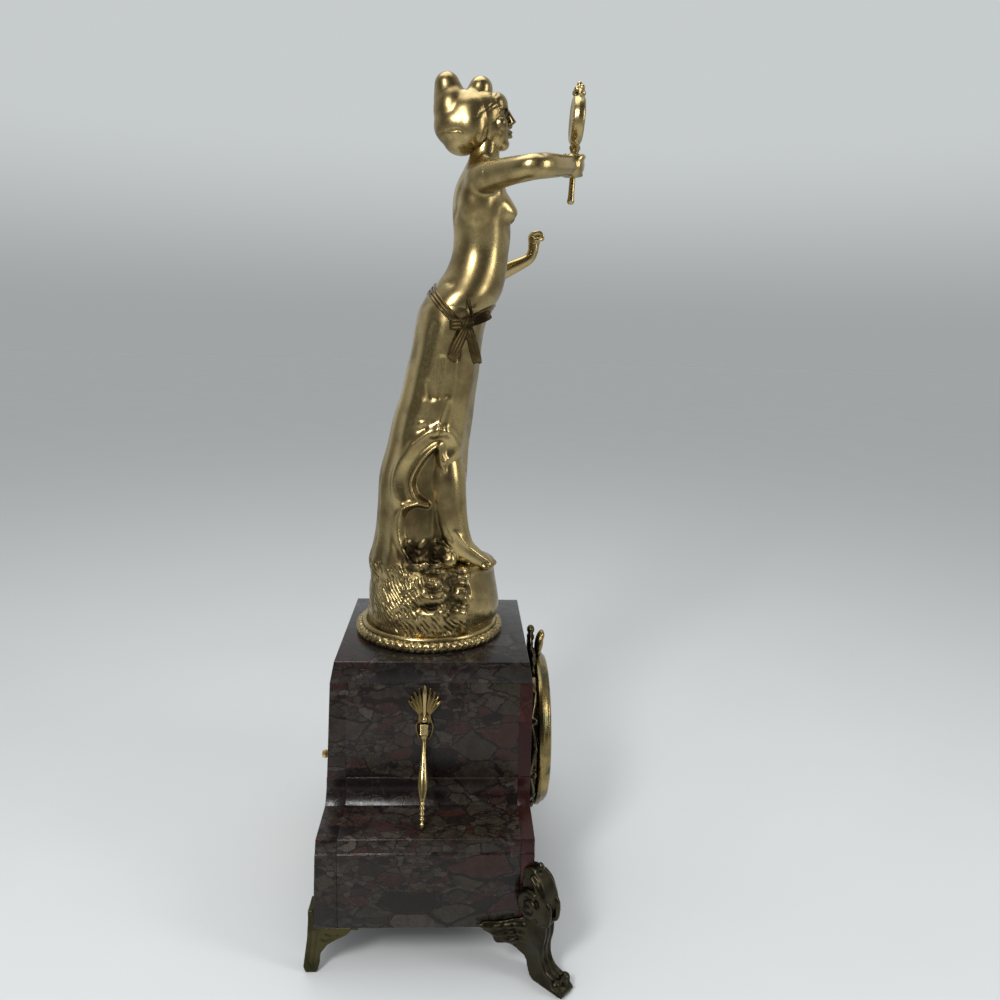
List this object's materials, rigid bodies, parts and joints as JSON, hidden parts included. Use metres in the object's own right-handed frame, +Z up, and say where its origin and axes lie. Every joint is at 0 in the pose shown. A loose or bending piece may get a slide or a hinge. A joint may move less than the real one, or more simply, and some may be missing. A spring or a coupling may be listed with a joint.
{
  "type": "figural clock",
  "caption": "Mantel clock in a marble case on scrolled bronze feet, with hinged glazed bezel, pendulum movement and a gilt draped figure holding a hand mirror.",
  "frame": {"origin": "middle of the footprint on the floor", "axes": "+Z up, -Y the way the dial and the figure face, +X to the right seen from the front"},
  "size_m": [0.3018, 0.1829, 0.6044],
  "materials": {
    "breccia_marble": "polished",
    "red_marble": "polished",
    "grey_marble": "polished",
    "gilt_bronze": "polished casting with dark recesses",
    "dark_bronze": "dark patina",
    "patinated_brass": "dark patina",
    "bezel_brass": "polished",
    "movement_brass": "satin",
    "steel": "satin",
    "blued_steel": "blued",
    "enamel": "fired enamel",
    "glass": "clear"
  },
  "bodies": {
    "case": {"back_slab": "breccia_marble", "base_floor": "breccia_marble", "belt_sash": "gilt_bronze", "bezel_crest": "patinated_brass", "bezel_frame": "patinated_brass", "bezel_hinge_pin": "steel", "case_straps": "movement_brass", "dial": "enamel", "figure_head": "gilt_bronze", "figure_left_arm": "gilt_bronze", "figure_right_arm": "gilt_bronze", "figure_skirt": "gilt_bronze", "figure_torso": "gilt_bronze", "fixing_stud": "steel", "foot_screws": "steel", "front_plate": "movement_brass", "front_slab": "red_marble", "hand_mirror": "gilt_bronze", "left_base_block": "breccia_marble", "left_front_foot": "dark_bronze", "left_rear_foot": "dark_bronze", "left_shoulder_moulding": "breccia_marble", "left_side_mount": "gilt_bronze", "left_tower_slab": "breccia_marble", "plate_screws": "steel", "rear_frame": "movement_brass", "rear_hinge_pin": "steel", "rear_plate": "movement_brass", "right_base_block": "breccia_marble", "right_front_foot": "dark_bronze", "right_rear_foot": "dark_bronze", "right_shoulder_moulding": "breccia_marble", "right_side_mount": "gilt_bronze", "right_tower_slab": "breccia_marble", "rock_base": "gilt_bronze", "rope_ring": "gilt_bronze", "strap_screws": "steel", "stud_nut": "steel", "suspension_cock": "movement_brass", "top_slab": "grey_marble"},
    "bezel": {"bezel_door": "bezel_brass", "bezel_glass": "glass"},
    "back_door": {"rear_door": "movement_brass"},
    "minute": {"minute_hand": "blued_steel", "cannon_pinion": "steel"},
    "hour": {"hour_hand": "blued_steel", "hour_wheel": "movement_brass"},
    "motion": {"motion_wheel": "movement_brass"},
    "third": {"third_wheel": "movement_brass"},
    "centre": {"centre_wheel": "movement_brass"},
    "intermediate": {"intermediate_wheel": "movement_brass"},
    "barrel": {"going_barrel": "movement_brass"},
    "escape": {"escape_wheel": "movement_brass"},
    "pendulum": {"anchor_crutch": "steel", "suspension_spring": "steel", "pendulum_rod": "movement_brass", "pendulum_bob": "movement_brass", "rating_nut": "movement_brass"},
    "winder": {"winding_arbor": "steel"}
  },
  "joints": [
    {"name": "bezel_hinge", "type": "hinge", "parent": "case", "child": "bezel", "pos_m": [0.0629, -0.07115, 0.1206], "axis": [0, 0, 1], "range_deg": [0, 105]},
    {"name": "back_door_hinge", "type": "hinge", "parent": "case", "child": "back_door", "pos_m": [0.0519, 0.0817, 0.1206], "axis": [0, 0, -1], "range_deg": [0, 110]},
    {"name": "minute_turn", "type": "hinge", "parent": "case", "child": "minute", "pos_m": [0, -0.0525, 0.1206], "axis": [0, 1, 0], "continuous": true},
    {"name": "hour_turn", "type": "hinge", "parent": "case", "child": "hour", "pos_m": [0, -0.0525, 0.1206], "axis": [0, 1, 0], "continuous": true},
    {"name": "motion_turn", "type": "hinge", "parent": "case", "child": "motion", "pos_m": [-0.01159, -0.0525, 0.11749], "axis": [0, 1, 0], "continuous": true},
    {"name": "third_turn", "type": "hinge", "parent": "case", "child": "third", "pos_m": [-0.011, -0.0225, 0.13394], "axis": [0, 1, 0], "continuous": true},
    {"name": "centre_turn", "type": "hinge", "parent": "case", "child": "centre", "pos_m": [0, -0.0225, 0.1206], "axis": [0, 1, 0], "continuous": true},
    {"name": "intermediate_turn", "type": "hinge", "parent": "case", "child": "intermediate", "pos_m": [0.01854, -0.0225, 0.12426], "axis": [0, 1, 0], "continuous": true},
    {"name": "barrel_turn", "type": "hinge", "parent": "case", "child": "barrel", "pos_m": [0.013, -0.0225, 0.104], "axis": [0, 1, 0], "continuous": true},
    {"name": "escape_turn", "type": "hinge", "parent": "case", "child": "escape", "pos_m": [0, -0.0145, 0.14348], "axis": [0, 1, 0], "continuous": true},
    {"name": "pendulum_swing", "type": "hinge", "parent": "case", "child": "pendulum", "pos_m": [0, 0.0015, 0.15798], "axis": [0, 1, 0], "range_deg": [-4, 4]},
    {"name": "winding_turn", "type": "hinge", "parent": "case", "child": "winder", "pos_m": [0.013, -0.0325, 0.104], "axis": [0, 1, 0], "continuous": true}
  ],
  "couplings": [
    {"joint": "hour_turn", "follows": "minute_turn", "ratio": 0.083333},
    {"joint": "motion_turn", "follows": "minute_turn", "ratio": -0.33333},
    {"joint": "centre_turn", "follows": "third_turn", "ratio": -0.083333},
    {"joint": "intermediate_turn", "follows": "third_turn", "ratio": 0.013889},
    {"joint": "barrel_turn", "follows": "third_turn", "ratio": -0.0023148},
    {"joint": "escape_turn", "follows": "third_turn", "ratio": -12}
  ]
}
